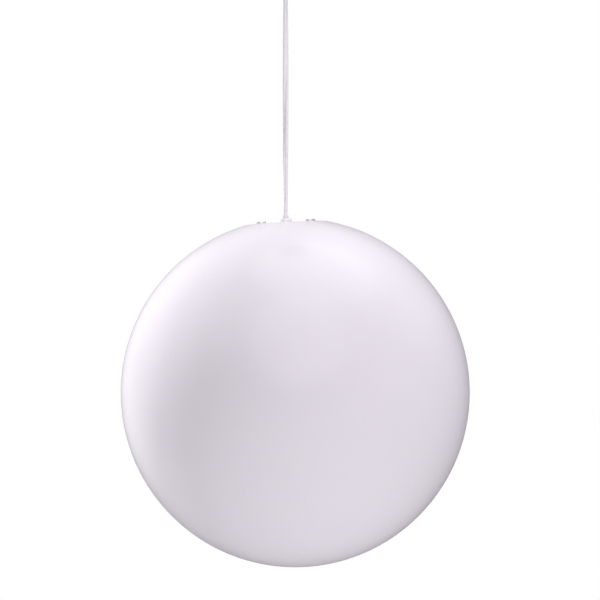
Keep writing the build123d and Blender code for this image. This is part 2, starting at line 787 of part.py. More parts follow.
core_turn = (lamp_cord_end + terminal_top_face) / 2
for core_side, core_name in ((-1, "holder_live_core"), (1, "holder_neutral_core")):
    core_y = core_side * core_spacing / 2
    core_route = [
        lid_top.from_local_coords(Vector(0, y, z))
        for y, z in (
            (core_y, lamp_cord_end),
            (core_y, core_turn),
            (core_side * terminal_offset, core_turn),
            (core_side * terminal_offset, insert_top + thread_gap),
        )
    ]
    with BuildPart() as holder_core:
        wire(*core_route, radii=[core_bend_radius, core_bend_radius])
    keep(holder_core, core_name)

with BuildPart() as holder_screw_shell:
    ring(lid_top, screw_shell_radius, screw_shell_radius - screw_shell_wall,
         shell_bottom, insert_bottom)
keep(holder_screw_shell, "holder_screw_shell")

tongue_left = -tongue_length / 2
tongue_right = tongue_length / 4
tongue_tip = bulb_contact_top + tongue_gap

with BuildPart() as holder_contact:
    with BuildSketch(section_of(lid_top)) as tongue_side:
        with BuildLine():
            Polyline(
                (tongue_left, insert_bottom),
                (tongue_right, insert_bottom),
                (tongue_right, insert_bottom - tongue_thickness),
                (tongue_left + 2 * tongue_thickness, insert_bottom - tongue_thickness),
                (tongue_right, tongue_tip + tongue_thickness),
                (tongue_right, tongue_tip),
                (tongue_left, insert_bottom - 2 * tongue_thickness),
                close=True,
            )
        make_face()
    extrude(tongue_side.sketch, amount=tongue_width / 2, both=True)
keep(holder_contact, "holder_contact")

# ================================ bulb ================================
bulb_radius = bulb_diameter / 2
bulb_cap_radius = bulb_cap_diameter / 2

with BuildPart() as bulb_contact:
    disc(lid_top, bulb_contact_diameter / 2, bulb_contact_bottom, bulb_contact_top)
    fillet(end_edges(bulb_contact, lid_top, -1), radius=bulb_contact_edge_radius)
keep(bulb_contact, "bulb_contact")

with BuildPart() as bulb_insulator:
    turn(
        lid_top,
        (0, bulb_cap_top),
        (bulb_cap_radius - bulb_cap_wall, bulb_cap_top),
        (bulb_insulator_top_diameter / 2, bulb_contact_bottom),
        (0, bulb_contact_bottom),
    )
keep(bulb_insulator, "bulb_insulator")

with BuildPart() as bulb_screw_shell:
    ring(lid_top, bulb_cap_radius, bulb_cap_radius - bulb_cap_wall, bulb_neck, bulb_cap_top)
keep(bulb_screw_shell, "bulb_screw_shell")

housing_plug_top = bulb_cap_top - thread_gap

with BuildPart() as bulb_housing:
    turn(
        lid_top,
        (0, housing_plug_top),
        (bulb_cap_radius - bulb_cap_wall - thread_gap, housing_plug_top),
        (bulb_cap_radius - bulb_cap_wall - thread_gap, bulb_neck),
        (bulb_neck_diameter / 2, bulb_neck),
        (bulb_radius, bulb_neck - bulb_taper_height),
        (bulb_radius, diffuser_top),
        (0, diffuser_top),
    )
keep(bulb_housing, "bulb_housing")

with BuildPart() as bulb_led_board:
    block(lid_top, led_board_side, led_board_side, bulb_tip + led_board_tip_gap, diffuser_top)
keep(bulb_led_board, "bulb_led_board")

with BuildPart() as bulb_diffuser:
    disc(lid_top, bulb_radius, bulb_tip, diffuser_top)
    fillet(end_edges(bulb_diffuser, lid_top, 0), radius=bulb_tip_radius)
    offset(
        amount=-bulb_diffuser_wall,
        openings=faces().filter_by(GeomType.PLANE)
        .sort_by(Axis(lid_top.origin, lid_top.z_dir))[-1],
    )
keep(bulb_diffuser, "bulb_diffuser")

free_length = upper_bend - lower_bend + 2 * cord_end_radius
section_area = cord_thickness * (cord_width - cord_thickness) + pi * cord_thickness**2 / 4
print(f"hanging cord {free_length:.1f} mm, volume {hanging_cord.part.volume:.0f} mm3,"
      f" section times length {section_area * free_length:.0f} mm3")
print(f"lid top {lid_top.origin}, axis {lid_top.z_dir}, globe centre"
      f" {lid_top.from_local_coords(Vector(0, 0, -lid_face_height))}")
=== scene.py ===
"""Looks of a white garden globe light that hangs from a ceiling by its twin flex.

Metres, +Z up. The globe and all that is fixed to it stand on a tilted axis, which is read from
the frame. Heights along it are counted from the lid's top face, and are negative below it.
Outlines, screws and threads are given in millimetres, as their functions say.
"""
import json
from math import atan2, cos, pi, radians, sin, sqrt

import bmesh
import bpy
from mathutils import Matrix, Vector


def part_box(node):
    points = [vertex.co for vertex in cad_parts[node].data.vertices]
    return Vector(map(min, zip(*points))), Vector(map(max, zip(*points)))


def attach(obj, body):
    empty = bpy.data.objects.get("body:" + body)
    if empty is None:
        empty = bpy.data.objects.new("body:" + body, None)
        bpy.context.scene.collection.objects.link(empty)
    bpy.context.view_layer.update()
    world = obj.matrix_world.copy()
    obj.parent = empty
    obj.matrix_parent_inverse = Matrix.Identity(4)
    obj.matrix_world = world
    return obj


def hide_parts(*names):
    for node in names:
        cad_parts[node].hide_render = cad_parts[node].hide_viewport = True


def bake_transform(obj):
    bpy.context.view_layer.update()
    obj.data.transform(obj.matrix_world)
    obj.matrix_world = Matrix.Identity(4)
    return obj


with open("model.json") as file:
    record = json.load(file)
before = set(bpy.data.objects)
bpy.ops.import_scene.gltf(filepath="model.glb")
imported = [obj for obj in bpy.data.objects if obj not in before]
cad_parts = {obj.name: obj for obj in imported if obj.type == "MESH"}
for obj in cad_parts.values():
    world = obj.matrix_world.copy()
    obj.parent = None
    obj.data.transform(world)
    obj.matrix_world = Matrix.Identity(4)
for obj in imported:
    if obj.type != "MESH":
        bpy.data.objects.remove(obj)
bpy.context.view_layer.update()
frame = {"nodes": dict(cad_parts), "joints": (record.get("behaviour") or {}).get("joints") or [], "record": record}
nodes = frame["nodes"]
joints = {joint["name"]: joint for joint in frame["joints"]}
slot_of = {part["node"]: part["material_slot"] for part in frame["record"]["subparts"]}
body_of = {
    node: body for body, held in frame["record"]["behaviour"]["bodies"].items() for node in held
}

MM = 0.001
MICRON = 0.000001

# ================================ what the frame says ================================
globe_up = -Vector(joints["globe_lower"]["axis"])
lower_bend = Vector(joints["globe_tilt"]["pos_m"])
upper_bend = Vector(joints["cord_swing_side"]["pos_m"])
globe_low, globe_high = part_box("globe_shell")
globe_radius = (globe_high.y - globe_low.y) / 2
globe_centre = Vector((
    (globe_low.x + globe_high.x) / 2,
    (globe_low.y + globe_high.y) / 2,
    globe_low.z + globe_radius,
))
bend_above_lid = 5.7 * MM       # the flex bends this far above the lid's top face
lid_middle = lower_bend - globe_up * bend_above_lid
lean = atan2(-globe_up.x, globe_up.z)

# the globe's axis as a matrix: local z runs up it, and the origin is on the lid's top face
lid_frame = Matrix.Translation(lid_middle) @ Matrix.Rotation(-lean, 4, "Y")
# the ceiling fitting hangs upright from the origin
ceiling_frame = Matrix.Identity(4)

# ================================ materials ================================
noise_detail = 4.0
noise_roughness = 0.55
noise_middle = (0.3, 0.7)       # most of a noise pattern lies between these
tone_stops = (0.35, 0.65)       # where a surface reaches its dark and its light tone
no_stretch = (1.0, 1.0, 1.0)


def new_material(name):
    """A new material, its node tree and its Principled shader."""
    material = bpy.data.materials.new(name)
    material.use_nodes = True
    tree = material.node_tree
    return material, tree, tree.nodes["Principled BSDF"]


def noise(tree, scale, stretch=no_stretch):
    """A noise pattern on object coordinates; scale is in waves to the metre."""
    place = tree.nodes.new("ShaderNodeTexCoord")
    mapping = tree.nodes.new("ShaderNodeMapping")
    mapping.inputs["Scale"].default_value = stretch
    pattern = tree.nodes.new("ShaderNodeTexNoise")
    pattern.inputs["Scale"].default_value = scale
    pattern.inputs["Detail"].default_value = noise_detail
    pattern.inputs["Roughness"].default_value = noise_roughness
    tree.links.new(place.outputs["Object"], mapping.inputs["Vector"])
    tree.links.new(mapping.outputs["Vector"], pattern.inputs["Vector"])
    return pattern.outputs["Fac"]


def spread(tree, pattern, low, high):
    """A pattern's middle range turned into low to high."""
    ranged = tree.nodes.new("ShaderNodeMapRange")
    ranged.inputs["From Min"].default_value = noise_middle[0]
    ranged.inputs["From Max"].default_value = noise_middle[1]
    ranged.inputs["To Min"].default_value = low
    ranged.inputs["To Max"].default_value = high
    tree.links.new(pattern, ranged.inputs["Value"])
    return ranged.outputs["Result"]


def two_tones(tree, pattern, dark, light):
    """A colour that wanders between two tones."""
    ramp = tree.nodes.new("ShaderNodeValToRGB")
    for stop, position, tone in zip(ramp.color_ramp.elements, tone_stops, (dark, light)):
        stop.position = position
        stop.color = (*tone, 1)
    tree.links.new(pattern, ramp.inputs["Fac"])
    return ramp.outputs["Color"]


def bumps(tree, shader, pattern, height):
    """Relief of a real height, in metres."""
    bump = tree.nodes.new("ShaderNodeBump")
    bump.inputs["Strength"].default_value = 1.0
    bump.inputs["Distance"].default_value = height
    tree.links.new(pattern, bump.inputs["Height"])
    tree.links.new(bump.outputs["Normal"], shader.inputs["Normal"])


def finish(name, dark, light, rough, grain, relief, blotch=9.0, metal=0.0, ior=1.5,
           stretch=no_stretch, **sockets):
    """A surface finish: two close tones in blotches, and a grain that varies gloss and relief.

    Grain and blotch are in waves to the metre, rough is a range, and relief is in microns.
    """
    material, tree, shader = new_material(name)
    tree.links.new(two_tones(tree, noise(tree, blotch), dark, light), shader.inputs["Base Color"])
    fine = noise(tree, grain, stretch)
    tree.links.new(spread(tree, fine, *rough), shader.inputs["Roughness"])
    bumps(tree, shader, fine, relief * MICRON)
    shader.inputs["Metallic"].default_value = metal
    shader.inputs["IOR"].default_value = ior
    for socket, value in sockets.items():
        shader.inputs[socket.replace("_", " ")].default_value = value
    return material


globe_tones = ((0.835, 0.795, 0.865), (0.85, 0.81, 0.88))
skin_gloss = {"Coat_Weight": 0.3, "Coat_Roughness": 0.1, "Coat_IOR": 1.5}
sheath_gloss = {"Coat_Weight": 1.0, "Coat_Roughness": 0.3, "Coat_IOR": 1.9}
# a glow for the inside of the globe's wall: painted light, as the wall is no lamp
painted_wall_glow = {"Emission_Color": (1.0, 0.97, 1.0, 1.0), "Emission_Strength": 0.35}
drawn_along_z = (1, 1, 0.15)
brushed_along_x = (1, 12, 12)

materials = {
    "globe_white": finish("satin_white_polyethylene", *globe_tones,
                          (0.30, 0.36), 90, 4, blotch=6, ior=1.4, **skin_gloss),
    "lid_white": finish("moulded_white_lid", (0.83, 0.795, 0.86), (0.85, 0.81, 0.88),
                        (0.30, 0.38), 160, 4, ior=1.4, **skin_gloss),
    "nylon_white": finish("white_nylon", (0.93, 0.91, 0.95), (0.95, 0.93, 0.97),
                          (0.38, 0.5), 300, 4),
    "cord_white": finish("white_flex_sheath", (0.95, 0.935, 0.965), (0.97, 0.955, 0.985),
                         (0.34, 0.46), 300, 4, stretch=drawn_along_z, **sheath_gloss),
    "canopy_white": finish("white_moulded_canopy", (0.82, 0.82, 0.82), (0.84, 0.84, 0.84),
                           (0.30, 0.36), 120, 4),
    "rubber_white": finish("white_soft_rubber", (0.74, 0.74, 0.73), (0.77, 0.77, 0.76),
                           (0.5, 0.6), 300, 3),
    "rubber_grey": finish("grey_seal_rubber", (0.12, 0.12, 0.125), (0.16, 0.16, 0.165),
                          (0.6, 0.75), 600, 5),
    "zinc_steel": finish("zinc_plated_steel", (0.60, 0.61, 0.63), (0.68, 0.68, 0.67),
                         (0.28, 0.40), 400, 2, blotch=60, metal=1.0),
    "stainless": finish("satin_stainless_steel", (0.70, 0.70, 0.71), (0.77, 0.77, 0.77),
                        (0.44, 0.54), 900, 4, blotch=80, metal=1.0, stretch=brushed_along_x),
    "brass": finish("machined_brass", (0.66, 0.46, 0.18), (0.76, 0.56, 0.25),
                    (0.29, 0.38), 500, 2, blotch=90, metal=1.0),
    "ceramic": finish("glazed_ceramic", (0.74, 0.72, 0.67), (0.80, 0.78, 0.73),
                      (0.14, 0.22), 120, 6, blotch=50),
    "core_brown": finish("brown_core", (0.085, 0.028, 0.010), (0.12, 0.04, 0.015),
                         (0.34, 0.46), 400, 3),
    "core_blue": finish("blue_core", (0.010, 0.055, 0.24), (0.015, 0.08, 0.32),
                        (0.34, 0.46), 400, 3),
    "holder_plastic": finish("heat_proof_moulding", (0.68, 0.68, 0.66), (0.71, 0.71, 0.69),
                             (0.32, 0.42), 200, 3),
    "bulb_white": finish("white_lamp_housing", (0.78, 0.78, 0.77), (0.81, 0.81, 0.80),
                         (0.28, 0.34), 150, 2),
    "bulb_opal": finish("opal_diffuser", (0.85, 0.85, 0.83), (0.87, 0.87, 0.85),
                        (0.30, 0.36), 100, 2),
    "bulb_metal": finish("nickel_plated_cap", (0.56, 0.55, 0.52), (0.64, 0.63, 0.60),
                         (0.29, 0.36), 400, 2, blotch=70, metal=1.0),
    "board_white": finish("lacquered_board", (0.70, 0.71, 0.68), (0.74, 0.75, 0.72),
                          (0.3, 0.42), 300, 3),
    "insulator_black": finish("black_insulator", (0.010, 0.010, 0.011), (0.018, 0.018, 0.019),
                              (0.14, 0.24), 200, 3),
}

# the inside of the globe's wall glows: painted light that stands in for the light coming through the wall, so its
# inside is never dark
painted_glow_inner_wall = finish("globe_inner_wall", *globe_tones, (0.40, 0.46), 90, 4, blotch=6, **painted_wall_glow)

for node_name, node in nodes.items():
    for material_slot in node.material_slots:
        material_slot.material = materials[slot_of[node_name]]

# ================================ making pieces ================================
rounding_segments = 6
weld_distance = 0.001 * MM
height_tolerance = 0.01 * MM


def finished(name, builder, slot_name, body, smooth_angle=35):
    """A bmesh made into a piece in its place: smooth, in its finish, riding on its body, if any."""
    mesh = bpy.data.meshes.new(name)
    builder.to_mesh(mesh)
    builder.free()
    mesh.materials.append(materials[slot_name])
    for polygon in mesh.polygons:
        polygon.use_smooth = True
    mesh.set_sharp_from_angle(angle=radians(smooth_angle))
    piece = bpy.data.objects.new(name, mesh)
    bpy.context.scene.collection.objects.link(piece)
    if body:
        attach(piece, body)
    return piece


def placed(builder, matrix):
    """Move what is in a bmesh by a matrix, and give it back."""
    bmesh.ops.transform(builder, matrix=matrix, verts=builder.verts)
    return builder


def joined(builders):
    """Several bmeshes as one."""
    whole = bmesh.new()
    for builder in builders:
        mesh = bpy.data.meshes.new("part_of_piece")
        builder.to_mesh(mesh)
        builder.free()
        whole.from_mesh(mesh)
        bpy.data.meshes.remove(mesh)
    return whole


def beside(matrix, x, y=0.0, z=0.0):
    """A frame moved along its own axes, in millimetres."""
    return matrix @ Matrix.Translation((x * MM, y * MM, z * MM))


def along_x(matrix, y, z):
    """A frame moved sideways and up, in millimetres, and turned so that its z runs along x."""
    return beside(matrix, 0, y, z) @ Matrix.Rotation(pi / 2, 4, "Y")


def steps_between(start, end, count):
    """Evenly spaced values from start to end, both included."""
    return [start + (end - start) * step / count for step in range(count + 1)]


def edges_at(builder, height):
    """Boundary edges whose ends both lie at a height, in metres."""
    return [
        edge for edge in builder.edges
        if edge.is_boundary
        and all(abs(vertex.co.z - height) < height_tolerance for vertex in edge.verts)
    ]


def extruded(builder, rim):
    """Extrude a rim's edges where they are, and give the new vertices and the new rim."""
    grown = bmesh.ops.extrude_edge_only(builder, edges=rim)["geom"]
    verts = [item for item in grown if isinstance(item, bmesh.types.BMVert)]
    new_rim = [item for item in grown if isinstance(item, bmesh.types.BMEdge) and item.is_boundary]
    return verts, new_rim


def grow_rim(builder, rim, drop=0.0, radius=None):
    """Extrude a round rim straight down, or in or out to another radius, in metres."""
    verts, new_rim = extruded(builder, rim)
    bmesh.ops.translate(builder, verts=verts, vec=(0, 0, -drop))
    if radius is not None:
        now = Vector(verts[0].co.xy).length
        bmesh.ops.scale(builder, verts=verts, vec=(radius / now, radius / now, 1))
    return new_rim


def turned(outline, closed=True, segments=96, roundings=()):
    """A form spun about local z from (radius, height) corners in millimetres.

    Roundings are (corner number, radius): those corners are rounded before the spin.
    """
    builder = bmesh.new()
    corners = [builder.verts.new((radius * MM, 0, height * MM)) for radius, height in outline]
    ends = corners[1:] + corners[:1] if closed else corners[1:]
    for start, end in zip(corners, ends):
        builder.edges.new((start, end))
    for number, radius in roundings:
        bmesh.ops.bevel(builder, geom=[corners[number]], offset=radius * MM,
                        segments=rounding_segments, profile=0.5, material=-1, affect="VERTICES")
    bmesh.ops.spin(builder, geom=builder.verts[:] + builder.edges[:], cent=(0, 0, 0),
                   axis=(0, 0, 1), angle=2 * pi, steps=segments, use_merge=True)
    bmesh.ops.remove_doubles(builder, verts=builder.verts, dist=weld_distance)
    bmesh.ops.recalc_face_normals(builder, faces=builder.faces)
    return builder


def roll_thread(builder, bottom, top, pitch, depth, least_radius=0.0, fade=1.0):
    """Press a helical thread into the round walls between two heights, in millimetres.

    It fades in and out over fade times its pitch, and within least_radius it changes nothing.
    """
    for vertex in builder.verts:
        height = vertex.co.z / MM
        radius = Vector(vertex.co.xy).length / MM
        if radius <= least_radius or not bottom < height < top:
            continue
        run_in = min(1.0, (height - bottom) / (fade * pitch), (top - height) / (fade * pitch))
        turn = atan2(vertex.co.y, vertex.co.x)
        wave = 0.5 - 0.5 * cos(2 * pi * height / pitch - turn)
        pressed = (radius - depth * wave * run_in) / radius
        vertex.co.x *= pressed
        vertex.co.y *= pressed


# ================================ screws ================================
screw_segments = 48
recess_edge = 0.08              # the small slope round a screw's recess
head_flat = 0.15                # the flat ring next to a head's rounded edge
point_slope = 0.5               # the slope at a screw's point
rings_to_mm = 8                 # rings of vertices to a millimetre of thread
thread_gap = 0.2                # the thread stops this far from its shank's ends
core_share = 0.6                # nearer to the axis than this share of a shank, it stays plain
least_sine = 0.001              # keeps a direction that runs along a slot from dividing by zero


def hexagon(turn, flats):
    """Radius of a hexagon in a direction."""
    return flats / 2 / cos((turn + pi / 6) % (pi / 3) - pi / 6)


def straight_slot(turn, length, width):
    """Radius of a straight slot in a direction."""
    return min(length / 2, width / 2 / max(least_sine, abs(sin(turn))))


def sink_drive(builder, top, depth, shape):
    """Close a screw head's open top with a flat and a recess of some shape, in millimetres."""
    rim = edges_at(builder, top * MM)
    for drop, slope in ((0.0, recess_edge), (recess_edge, 0.0), (depth, 0.0)):
        verts, rim = extruded(builder, rim)
        for vertex in verts:
            turn = atan2(vertex.co.y, vertex.co.x)
            radius = (shape(turn) + slope) * MM
            vertex.co = Vector((radius * cos(turn), radius * sin(turn), (top - drop) * MM))
    bmesh.ops.contextual_create(builder, geom=rim)
    bmesh.ops.recalc_face_normals(builder, faces=builder.faces)


def make_screw(head, shank, drive, drive_depth, dome, pitch, thread_depth):
    """A screw along local z. Head and shank are (radius, bottom, top) in millimetres."""
    head_radius, head_bottom, head_top = head
    radius, bottom, top = shank
    rings = steps_between(bottom + point_slope, top, int((top - bottom) * rings_to_mm))
    outline = [(0, bottom), (radius - point_slope, bottom)]
    outline += [(radius, height) for height in rings]
    corner = len(outline) + 1
    outline += [(head_radius, head_bottom), (head_radius, head_top)]
    outline.append((head_radius - dome - head_flat, head_top))
    builder = turned(outline, closed=False, segments=screw_segments, roundings=((corner, dome),))
    roll_thread(builder, bottom + thread_gap, top - thread_gap, pitch, thread_depth,
                least_radius=radius * core_share)
    sink_drive(builder, head_top, drive_depth, drive)
    return builder


def socket_screw(head, shank, key_size, key_depth, pitch, thread_depth):
    """A domed screw with a hexagon socket of a key's size, in millimetres."""
    dome = 1.1
    return make_screw(head, shank, lambda turn: hexagon(turn, key_size), key_depth, dome,
                      pitch, thread_depth)


def slotted_screw(head, shank, slot_size, slot_depth, dome):
    """A small screw with a straight slot of (length, width) in its head, in millimetres."""
    pitch, thread_depth = 0.5, 0.18
    return make_screw(head, shank, lambda turn: straight_slot(turn, *slot_size), slot_depth, dome,
                      pitch, thread_depth)


def grub_screw(radius, bottom, top, slot_width):
    """A headless slotted screw along local z, in millimetres."""
    slope, slot_end, slot_depth = 0.3, 0.15, 0.9
    rings, gap, pitch, thread_depth, core = 24, 0.1, 0.5, 0.15, 0.8
    outline = [(0, bottom), (radius - slope, bottom)]
    outline += [(radius, height) for height in steps_between(bottom + slope, top - slope, rings)]
    outline.append((radius - slope, top))
    builder = turned(outline, closed=False, segments=screw_segments)
    roll_thread(builder, bottom + gap, top - gap, pitch, thread_depth, least_radius=radius * core)
    slot_length = 2 * (radius - slope - slot_end)
    sink_drive(builder, top, slot_depth, lambda turn: straight_slot(turn, slot_length, slot_width))
    return builder


# ================================ hanging cord ================================
cord_width = 6.0 * MM
cord_thickness = 3.8 * MM
flex_groove = 0.3 * MM          # depth of the groove down each flat side
flex_turn = pi                  # the flat flex makes half a turn between its ends
flex_turn_bias = 0.8            # it turns faster near the ceiling
foot_height = 3.5 * MM          # this far above the lower bend, it begins to swell to a round foot
foot_radius = cord_width / 2 + 0.05 * MM
foot_steepness = 1.4            # the swelling is complete a little above the bend
section_sides = 40
groove_cuts = 7
cord_steps = 80
mouth_above_bend = 3.3 * MM
straight_run = 6 * cord_width
sleeve_mouth = upper_bend + Vector((0, 0, mouth_above_bend))
cord_route = (
    lower_bend - Vector((0, 0, foot_radius)),
    lower_bend + Vector((0, 0, straight_run)),
    upper_bend - Vector((0, 0, straight_run)),
    sleeve_mouth,
)


def line_through(points, steps):
    """Points along the smooth line that a route's points guide."""
    curve = bpy.data.curves.new("cord_route", "CURVE")
    curve.dimensions = "3D"
    curve.resolution_u = steps
    spline = curve.splines.new("NURBS")
    spline.points.add(len(points) - 1)
    for control, point in zip(spline.points, points):
        control.co = (*point, 1)
    spline.order_u = 3
    spline.use_endpoint_u = True
    guide = bpy.data.objects.new("cord_route", curve)
    bpy.context.scene.collection.objects.link(guide)
    bpy.context.view_layer.update()
    mesh = bpy.data.meshes.new_from_object(guide)
    line = [vertex.co.copy() for vertex in mesh.vertices]
    bpy.data.objects.remove(guide)
    return line


def twin_section(builder, centre):
    """The outline of a flat flex with two cores, wide side along y, a groove down each flat."""
    lobe = cord_thickness / 2
    offset = (cord_width - cord_thickness) / 2
    bmesh.ops.create_circle(builder, segments=section_sides, radius=lobe)
    for vertex in builder.verts:
        vertex.co.y += offset if vertex.co.y > 0 else -offset
    flats = [edge for edge in builder.edges if edge.calc_length() > offset]
    bmesh.ops.subdivide_edges(builder, edges=flats, cuts=groove_cuts)
    for vertex in builder.verts:
        pinch = max(0.0, 1 - abs(vertex.co.y) / offset)
        vertex.co.x -= flex_groove * pinch * (1 if vertex.co.x > 0 else -1)
        vertex.co += centre


def swell_foot(builder):
    """Round the flex off near the gland, to a half ball about the lower bend."""
    for vertex in builder.verts:
        side = Vector((vertex.co.x - lower_bend.x, vertex.co.y - lower_bend.y, 0))
        above = vertex.co.z - lower_bend.z
        if above > foot_height or side.length == 0:
            continue
        swell = min(1.0, foot_steepness * (1 - above / foot_height))
        radius = side.length + (foot_radius - side.length) * swell
        if above < 0:
            radius = min(radius, sqrt(max(0.0, foot_radius**2 - above**2)))
        vertex.co += side * (radius / side.length - 1)


def make_cord():
    """The flex that shows, swept along its line with its slow twist."""
    line = line_through(cord_route, cord_steps)
    builder = bmesh.new()
    twin_section(builder, line[0])
    bmesh.ops.contextual_create(builder, geom=list(builder.edges))
    rim = list(builder.edges)
    whole = (line[-1] - line[0]).length
    turned_so_far = 0.0
    for here, there in zip(line, line[1:]):
        share = (line[-1] - there).length / whole
        turn = flex_turn * (1 - share**flex_turn_bias)
        verts, rim = extruded(builder, rim)
        bmesh.ops.translate(builder, verts=verts, vec=there - here)
        bmesh.ops.rotate(builder, verts=verts, cent=there,
                         matrix=Matrix.Rotation(turn - turned_so_far, 3, "Z"))
        turned_so_far = turn
    bmesh.ops.contextual_create(builder, geom=rim)
    swell_foot(builder)
    bmesh.ops.recalc_face_normals(builder, faces=builder.faces)
    cord = finished("flex", builder, "cord_white", None, smooth_angle=60)
    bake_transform(cord)
    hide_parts("hanging_cord")


make_cord()

# ================================ globe ================================
globe_wall = 3.0 * MM
recess_radius = 40.2 * MM
opening_radius = 35.0 * MM
flange_top = -5.5 * MM
flange_underside = -8.5 * MM
rim_bevel = 0.8 * MM
rim_bevel_segments = 4
globe_segments = 256
outer_rings = 144
inner_rings = 72


def open_ball(radius, rings, height):
    """A hollow ball without its cap above a height, counted from its middle."""
    builder = bmesh.new()
    bmesh.ops.create_uvsphere(builder, u_segments=globe_segments, v_segments=rings, radius=radius)
    bmesh.ops.bisect_plane(builder, geom=builder.verts[:] + builder.edges[:] + builder.faces[:],
                           plane_co=(0, 0, height), plane_no=(0, 0, 1), clear_outer=True)
    return builder


def make_globe():
    """The shell: round outside, a stepped round recess for the lid, and the inner wall."""
    lid_height = (lid_middle - globe_centre).length
    mouth_height = sqrt(globe_radius**2 - recess_radius**2)
    lip_height = lid_height + flange_underside
    builder = open_ball(globe_radius, outer_rings, mouth_height)
    corner = edges_at(builder, mouth_height)
    rim = grow_rim(builder, corner, drop=mouth_height - (lid_height + flange_top))
    rim = grow_rim(builder, rim, radius=opening_radius)
    grow_rim(builder, rim, drop=flange_top - flange_underside)
    bmesh.ops.bevel(builder, geom=corner, offset=rim_bevel, segments=rim_bevel_segments,
                    profile=0.5, material=-1, affect="EDGES")
    rim = edges_at(builder, lip_height)
    inner = open_ball(globe_radius - globe_wall, inner_rings, lip_height)
    bmesh.ops.reverse_faces(inner, faces=inner.faces)
    # the inner wall takes the second finish, whose glow is painted light for what comes through the wall
    for face in inner.faces:
        face.material_index = 1
    wall = bpy.data.meshes.new("globe_inner_wall")
    inner.to_mesh(wall)
    inner.free()
    before = set(builder.edges)
    builder.from_mesh(wall)
    bpy.data.meshes.remove(wall)
    inner_rim = [edge for edge in builder.edges if edge not in before and edge.is_boundary]
    bmesh.ops.bridge_loops(builder, edges=rim + inner_rim)
    bmesh.ops.recalc_face_normals(builder, faces=builder.faces)
    globe_frame = Matrix.Translation(globe_centre) @ lid_frame.to_3x3().to_4x4()
    globe = finished("globe", placed(builder, globe_frame), "globe_white", "globe",
                     smooth_angle=30)
    globe.data.materials.append(painted_glow_inner_wall)
    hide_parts("globe_shell")


make_globe()


# ================================ gland, lid screws ================================
def make_gland():
    """The cord gland: domed head, seal lip, and a threaded stem through the lid."""
    head, bore, stem = 6.25, 3.6, 4.95
    top, bottom = 4.7, -16.5
    dome, lip, edge = 1.8, 0.3, 0.25
    slope, rings = 0.4, 96
    thread_top, pitch, thread_depth, core = -4.2, 1.5, 0.45, 4.2
    outline = [(bore, bottom), (stem - slope, bottom)]
    outline += [(stem, height) for height in steps_between(bottom + slope, -slope, rings)]
    outline += [(stem, 0), (head, 0), (head, top), (bore, top)]
    last = len(outline) - 1
    builder = turned(outline, roundings=((last - 1, dome), (last, lip), (last - 2, edge)))
    roll_thread(builder, bottom + thread_gap, thread_top, pitch, thread_depth, least_radius=core)
    piece = finished("gland", placed(builder, lid_frame), "nylon_white", "lamp_head")
    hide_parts("gland_body")


def make_lid_screw(side_name, side):
    """A domed hexagon-socket screw and the washer under its head."""
    from_middle = 24.5
    washer_top, washer_edge, washer_bore = 0.9, 6.2, 2.75
    small_round, top_round = 0.2, 0.35
    at = beside(lid_frame, side * from_middle)
    screw = socket_screw(head=(4.75, washer_top, 2.75), shank=(2.5, -15.1, washer_top),
                         key_size=3.0, key_depth=1.1, pitch=0.8, thread_depth=0.35)
    piece = finished(f"socket_screw_{side_name}", placed(screw, at), "stainless",
                     f"{side_name}_screw")
    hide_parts(f"lid_screw_{side_name}")
    washer = turned(
        [(washer_bore, 0), (washer_edge, 0), (washer_edge, washer_top), (washer_bore, washer_top)],
        roundings=((1, small_round), (2, top_round), (3, small_round)),
    )
    piece = finished(f"plain_washer_{side_name}", placed(washer, at), "stainless",
                     body_of[f"lid_washer_{side_name}"])
    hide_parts(f"lid_washer_{side_name}")


make_gland()
for screw_side, screw_way in (("left", -1), ("right", 1)):
    make_lid_screw(screw_side, screw_way)


# ================================ ceiling fitting ================================
def make_sleeve():
    """The swivel ball and its tapered strain relief, with grooves that let it flex."""
    bore, ball_radius, ball_height = 3.3, 9.0, -38.0
    ball_steps, sleeve_segments = 40, 72
    neck, neck_height, neck_run = 5.2, -43.0, 1.5
    mouth, mouth_height, mouth_round = 4.1, -70.0, 0.5
    first_groove, groove_pitch, groove_depth = -49.0, 3.2, 0.7
    groove_floor, groove_end, end_step = (0.35, 0.95), 1.3, 0.05
    neck_drop = neck_height - ball_height
    ball_foot = atan2(neck_drop, sqrt(ball_radius**2 - neck_drop**2))
    ball_top = pi / 2 - atan2(bore, sqrt(ball_radius**2 - bore**2))
    outline = [
        (ball_radius * cos(angle), ball_height + ball_radius * sin(angle))
        for angle in steps_between(ball_top, ball_foot, ball_steps)
        if ball_radius * cos(angle) > neck or angle > 0
    ]
    outline.append((neck, neck_height - neck_run))
    height = first_groove
    while height > mouth_height + groove_pitch:
        radius = neck + (mouth - neck) * (height - neck_height) / (mouth_height - neck_height)
        outline.append((radius, height))
        outline += [(radius - groove_depth, height - drop) for drop in groove_floor]
        outline.append((radius - end_step, height - groove_end))
        height -= groove_pitch
    outline += [(mouth, mouth_height), (bore, mouth_height)]
    mouth_corner = len(outline) - 2
    builder = turned(outline, segments=sleeve_segments,
                     roundings=((mouth_corner, mouth_round),))
    piece = finished("strain_relief", builder, "rubber_white", "sleeve", smooth_angle=40)
    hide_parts("cord_sleeve")


def make_canopy_screw(side_name, side):
    """A domed socket screw that comes in from the side."""
    from_middle, screw_height = 50, -9
    outward = beside(ceiling_frame, side * from_middle, z=screw_height)
    outward = outward @ Matrix.Rotation(side * pi / 2, 4, "Y")
    screw = socket_screw(head=(4.0, 0, 2.2), shank=(2.0, -9.0, 0), key_size=2.5, key_depth=1.2,
                         pitch=0.7, thread_depth=0.3)
    piece = finished(f"side_screw_{side_name}", placed(screw, outward), "stainless",
                     "ceiling_fitting")
    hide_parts(f"canopy_screw_{side_name}")


